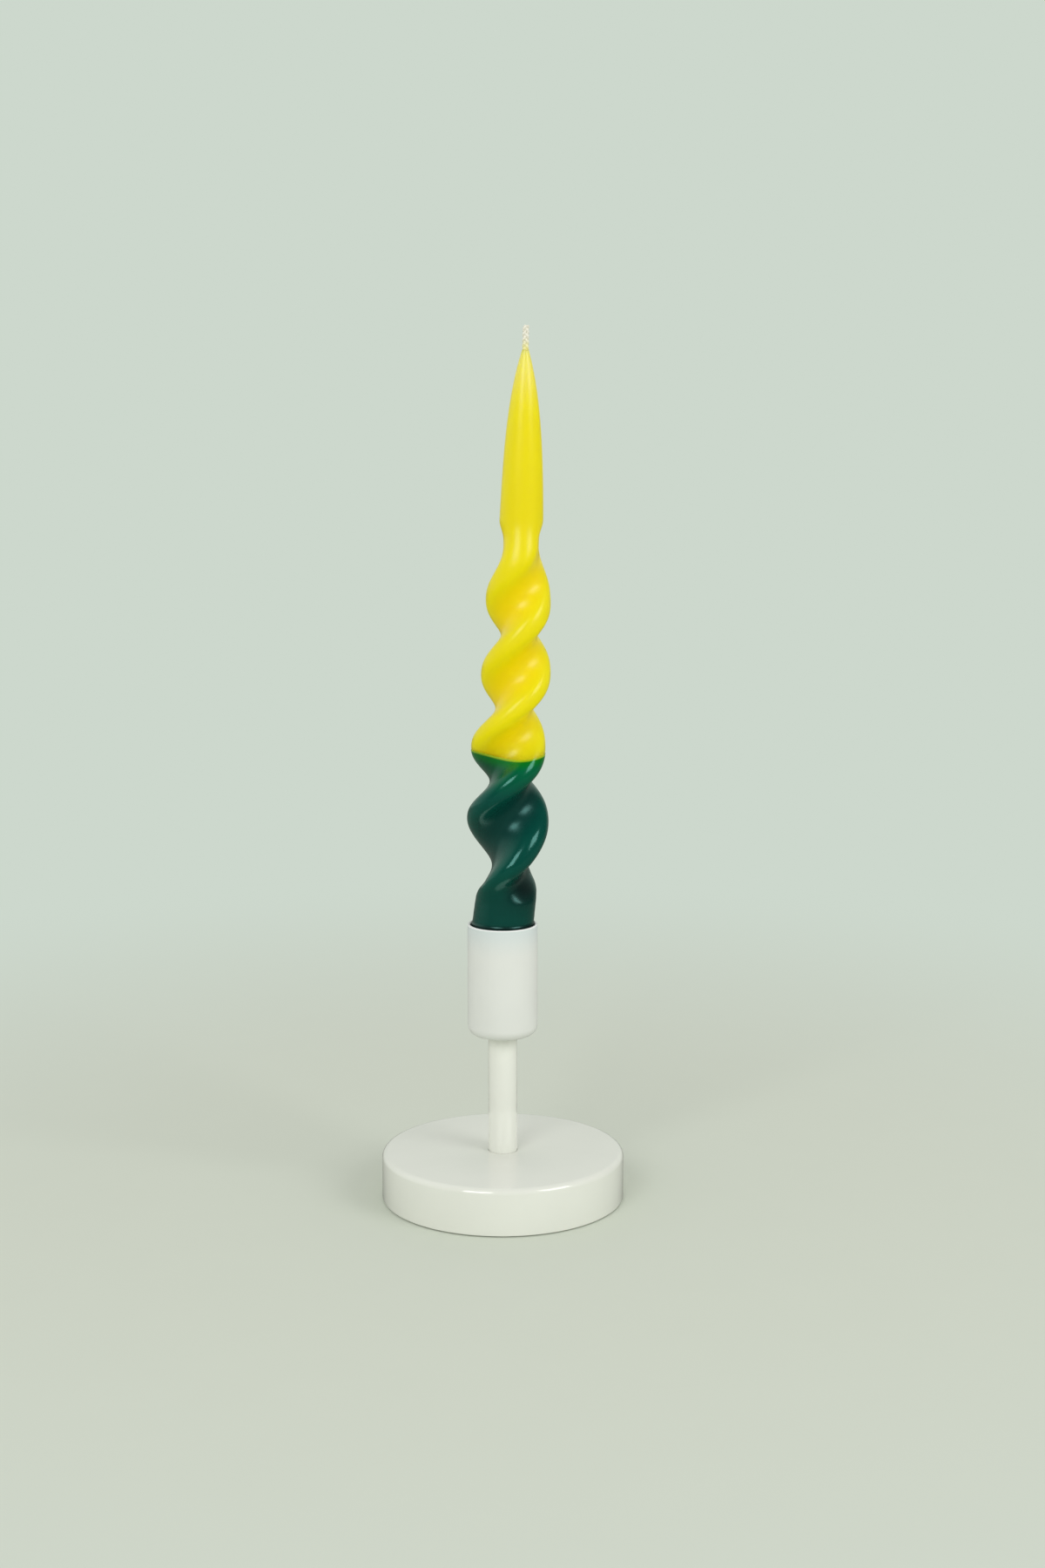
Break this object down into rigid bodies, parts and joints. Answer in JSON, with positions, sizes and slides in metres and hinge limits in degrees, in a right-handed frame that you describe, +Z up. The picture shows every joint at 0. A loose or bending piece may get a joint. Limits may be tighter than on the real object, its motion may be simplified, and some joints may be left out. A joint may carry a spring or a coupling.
{
  "type": "twisted taper candle",
  "caption": "Hand-twisted taper candle with a dipped lower part, lifting out of a candlestick with a round foot, a plain stem and a thin-walled cup.",
  "frame": {"origin": "middle of the foot pad's underside, on the stem's axis", "axes": "+Z up along the stem, -Y towards the front of the picture, +X to its right"},
  "size_m": [0.084, 0.084, 0.298],
  "materials": {
    "white_paint": "smooth off-white semi-gloss paint",
    "pad": "matt foam rubber",
    "steel": "plated steel",
    "yellow_wax": "hand-dipped wax, soft sheen",
    "green_wax": "hand-dipped wax, soft sheen",
    "cotton": "waxed braided cotton"
  },
  "bodies": {
    "holder": {"base": "white_paint", "foot_pad": "pad", "stem": "white_paint", "cup": "white_paint", "base_screw": "steel", "cup_screw": "steel"},
    "candle": {"wax_core": "yellow_wax", "dip_coat": "green_wax", "wick": "cotton"}
  },
  "joints": [
    {"name": "candle_lift", "type": "slide", "parent": "holder", "child": "candle", "axis": [0, 0, 1], "range_m": [0, 0.04]}
  ]
}
